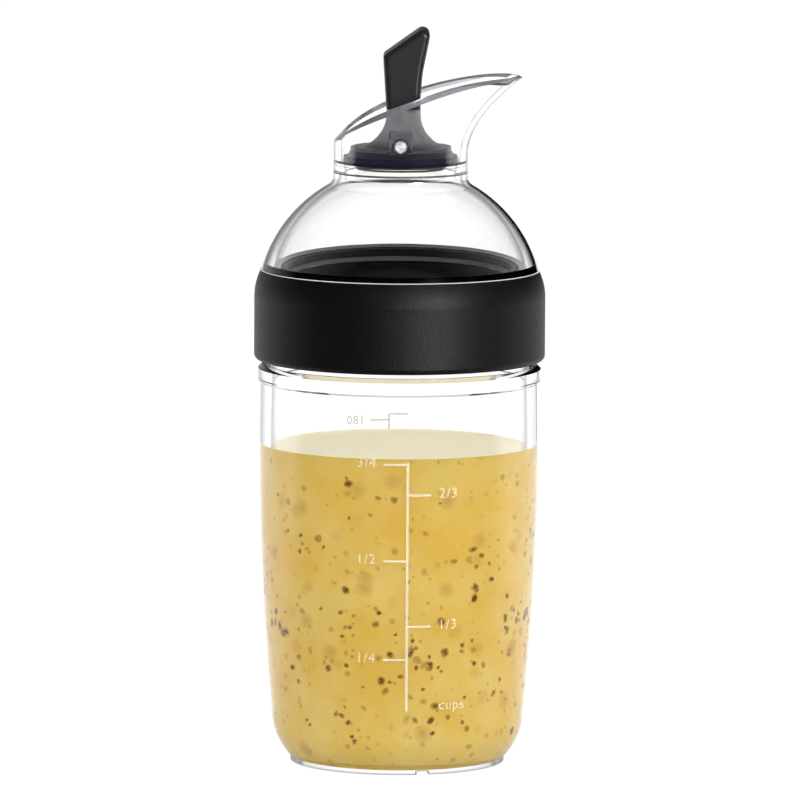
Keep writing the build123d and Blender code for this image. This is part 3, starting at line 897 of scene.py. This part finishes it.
world = bpy.data.worlds.new("studio")
bpy.context.scene.world = world
world.use_nodes = True
sky = world.node_tree
way = node(sky, "LightPath").outputs
direct = node(sky, "TexCoord").outputs["Object"]
axes = node(sky, "SeparateXYZ", {0: direct}).outputs
back = spread(sky, axes["Y"], 0, 1, -0.7, 0.5)
steep = spread(sky, axes["Z"], 0, 1, 0.12, 0.58)
mirrored = worked(sky, "GREATER_THAN", way["Glossy Depth"], 0.5)
scattered = worked(sky, "GREATER_THAN", way["Diffuse Depth"], 0.5)

# A gloss sees near black all round, pale grey at the back left, and a small bright window at the front right.
behind = along(sky, direct, (-0.6, 0.8, 0))
gloss = blended(sky, spread(sky, behind, 0, 1, 0.7, 1.0), "09090B", "D6D6D8")
gloss = blended(sky, steep, gloss, "1E1E20")
window = worked(sky, "MAXIMUM", along(sky, direct, (0.464, -0.873, 0.148)), 0.0)
window = worked(sky, "POWER", window, 90.0)
gloss = blended(sky, window, gloss, (52.0, 52.0, 53.0, 1))

# Clear plastic sees white, and grey above. Once mirrored in it, the front is dark. Light that has scattered
# below it comes most from the front right.
glass = blended(sky, steep, (1.25, 1.25, 1.25, 1), blended(sky, back, "6C7078", "C0C3C8"))
glass = blended(sky, mirrored, glass, blended(sky, back, "28282B", "F0F0F4"))
side = along(sky, direct, (0.6, -0.8, 0))
lit = blended(sky, spread(sky, side, 0, 1, -0.6, 0.9), (0.95, 0.95, 0.95, 1), (2.6, 2.6, 2.6, 1))
glass = blended(sky, scattered, glass, lit)

# Matt finishes see an even grey, and the camera sees white.
colour = blended(sky, way["Is Glossy Ray"], "D4D4D4", gloss)
colour = blended(sky, way["Is Transmission Ray"], colour, glass)
colour = blended(sky, way["Is Camera Ray"], colour, (1, 1, 1, 1))
backdrop = sky.nodes["Background"]
sky.links.new(colour, backdrop.inputs["Color"])
backdrop.inputs["Strength"].default_value = 1.0


def lamp(name, place, aim, size, power):
    """A soft square lamp at a place, turned to an aim."""
    light = bpy.data.lights.new(name, "AREA")
    light.shape, light.size, light.energy = "SQUARE", size, power
    made = bpy.data.objects.new(name, light)
    bpy.context.scene.collection.objects.link(made)
    made.location = place
    made.visible_glossy = made.visible_transmission = False
    made.rotation_euler = (Vector(aim) - Vector(place)).to_track_quat("-Z", "Y").to_euler()


lamp("key_lamp", (1.4, -1.1, 1.1), (0, 0, 0.08), 0.9, 30)
lamp("fill_lamp", (-1.4, -1.0, 0.9), (0, 0, 0.08), 1.2, 8)

# The camera stands in front and a little above. Its places are in metres and its roll in degrees. The sensor
# is in mm and the picture in pixels, as Blender counts them.
distance, eye, aim, roll = 2.3, 0.36, 0.0843, 0.35
aside, pixel, picture, sensor = 0.19 * mm, 0.2325 * mm, 800, 36
camera = bpy.data.cameras.new("camera")
viewer = bpy.data.objects.new("camera", camera)
bpy.context.scene.collection.objects.link(viewer)
tilt = atan2(eye - aim, distance)
viewer.location = (aside, -distance, eye)
turned = Matrix.Rotation(pi / 2 - tilt, 3, "X") @ Matrix.Rotation(radians(roll), 3, "Z")
viewer.rotation_euler = turned.to_euler()
camera.sensor_width = sensor
camera.lens = sensor * hypot(distance, eye - aim) / (pixel * picture)
camera.clip_end = 100
bpy.context.scene.camera = viewer
bpy.context.scene.view_settings.view_transform = "Standard"
